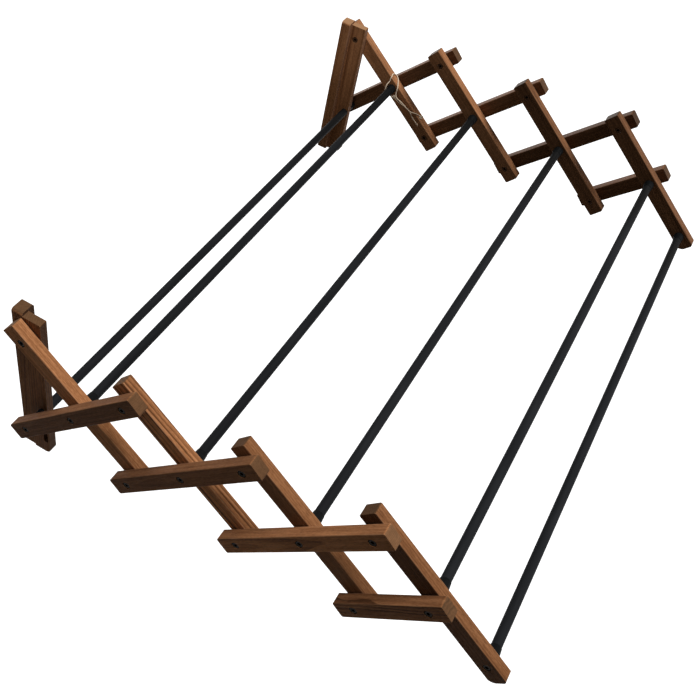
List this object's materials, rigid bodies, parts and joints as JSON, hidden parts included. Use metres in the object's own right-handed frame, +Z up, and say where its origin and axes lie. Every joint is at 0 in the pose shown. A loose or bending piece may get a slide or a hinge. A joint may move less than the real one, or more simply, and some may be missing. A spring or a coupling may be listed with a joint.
{
  "type": "wall mounted fold-down drying rack",
  "caption": "Wall mounted accordion drying rack: wooden scissor frames on two wall brackets, joined by dark round rods, folding flat against the wall.",
  "frame": {"origin": "on the wall, midway between the two brackets, at the centre of their four keyholes", "axes": "+Z up, -Y out from the wall, +X to the right when facing the wall, along the rods"},
  "size_m": [0.88, 0.6439, 0.2682],
  "materials": {
    "arm_wood": "stained hardwood, satin oil",
    "bracket_wood": "stained hardwood, satin oil",
    "rod_finish": "satin charcoal powder coat",
    "black_plastic": "moulded, matt",
    "dark_steel": "blackened steel, satin",
    "twine": "plain jute twine"
  },
  "bodies": {
    "wall_bracket": {"left_wall_plate": "bracket_wood", "right_wall_plate": "bracket_wood", "left_side_board": "bracket_wood", "right_side_board": "bracket_wood", "bracket_rod": "rod_finish", "bracket_rod_plugs": "black_plastic", "bracket_screws": "dark_steel", "top_bolts": "dark_steel", "top_nuts": "dark_steel"},
    "falling_pair_1": {"left_falling_arm_1": "arm_wood", "right_falling_arm_1": "arm_wood", "rod_1": "rod_finish", "rod_1_collars": "black_plastic", "falling_arm_1_bolts": "dark_steel", "falling_arm_1_washers": "black_plastic", "falling_arm_1_nuts": "dark_steel", "twine": "twine", "twine_knot": "twine"},
    "falling_pair_2": {"left_falling_arm_2": "arm_wood", "right_falling_arm_2": "arm_wood", "rod_2": "rod_finish", "rod_2_collars": "black_plastic", "falling_arm_2_bolts": "dark_steel", "falling_arm_2_washers": "black_plastic", "falling_arm_2_nuts": "dark_steel"},
    "falling_pair_3": {"left_falling_arm_3": "arm_wood", "right_falling_arm_3": "arm_wood", "rod_3": "rod_finish", "rod_3_collars": "black_plastic", "falling_arm_3_bolts": "dark_steel", "falling_arm_3_washers": "black_plastic", "falling_arm_3_nuts": "dark_steel"},
    "falling_pair_4": {"left_falling_arm_4": "arm_wood", "right_falling_arm_4": "arm_wood", "rod_4": "rod_finish", "rod_4_collars": "black_plastic", "falling_arm_4_bolts": "dark_steel", "falling_arm_4_washers": "black_plastic", "end_rod": "rod_finish", "end_rod_collars": "black_plastic"},
    "rising_pair_1": {"left_rising_arm_1": "arm_wood", "right_rising_arm_1": "arm_wood", "rising_arm_1_bolts": "dark_steel", "rising_arm_1_nuts": "dark_steel", "slide_pins": "dark_steel", "slide_sleeves": "black_plastic"},
    "rising_pair_2": {"left_rising_arm_2": "arm_wood", "right_rising_arm_2": "arm_wood", "rising_arm_2_bolts": "dark_steel", "rising_arm_2_nuts": "dark_steel"},
    "rising_pair_3": {"left_rising_arm_3": "arm_wood", "right_rising_arm_3": "arm_wood", "rising_arm_3_bolts": "dark_steel", "rising_arm_3_nuts": "dark_steel"},
    "rising_pair_4": {"left_rising_arm_4": "arm_wood", "right_rising_arm_4": "arm_wood"}
  },
  "joints": [
    {"name": "fold", "type": "hinge", "parent": "wall_bracket", "child": "falling_pair_1", "pos_m": [0, -0.025, 0.096], "axis": [1, 0, 0], "range_deg": [0, 34]},
    {"name": "middle_pivot_1", "type": "hinge", "parent": "falling_pair_1", "child": "rising_pair_1", "pos_m": [0, -0.10236, 0.03264], "axis": [1, 0, 0], "range_deg": [-66, 0]},
    {"name": "lower_pivot_1", "type": "hinge", "parent": "falling_pair_1", "child": "rising_pair_2", "pos_m": [0, -0.17973, -0.03073], "axis": [1, 0, 0], "range_deg": [-66, 0]},
    {"name": "middle_pivot_2", "type": "hinge", "parent": "rising_pair_2", "child": "falling_pair_2", "pos_m": [0, -0.24909, 0.04131], "axis": [1, 0, 0], "range_deg": [0, 66]},
    {"name": "top_pivot_2", "type": "hinge", "parent": "rising_pair_2", "child": "falling_pair_3", "pos_m": [0, -0.31845, 0.11334], "axis": [1, 0, 0], "range_deg": [0, 66]},
    {"name": "middle_pivot_3", "type": "hinge", "parent": "falling_pair_3", "child": "rising_pair_3", "pos_m": [0, -0.39582, 0.04998], "axis": [1, 0, 0], "range_deg": [-66, 0]},
    {"name": "lower_pivot_3", "type": "hinge", "parent": "falling_pair_3", "child": "rising_pair_4", "pos_m": [0, -0.47318, -0.01339], "axis": [1, 0, 0], "range_deg": [-66, 0]},
    {"name": "middle_pivot_4", "type": "hinge", "parent": "rising_pair_4", "child": "falling_pair_4", "pos_m": [0, -0.54255, 0.05865], "axis": [1, 0, 0], "range_deg": [0, 66]}
  ],
  "couplings": [
    {"joint": "middle_pivot_1", "follows": "fold", "ratio": -1.9403},
    {"joint": "lower_pivot_1", "follows": "fold", "ratio": -1.9403},
    {"joint": "middle_pivot_2", "follows": "fold", "ratio": 1.9403},
    {"joint": "top_pivot_2", "follows": "fold", "ratio": 1.9403},
    {"joint": "middle_pivot_3", "follows": "fold", "ratio": -1.9403},
    {"joint": "lower_pivot_3", "follows": "fold", "ratio": -1.9403},
    {"joint": "middle_pivot_4", "follows": "fold", "ratio": 1.9403}
  ]
}
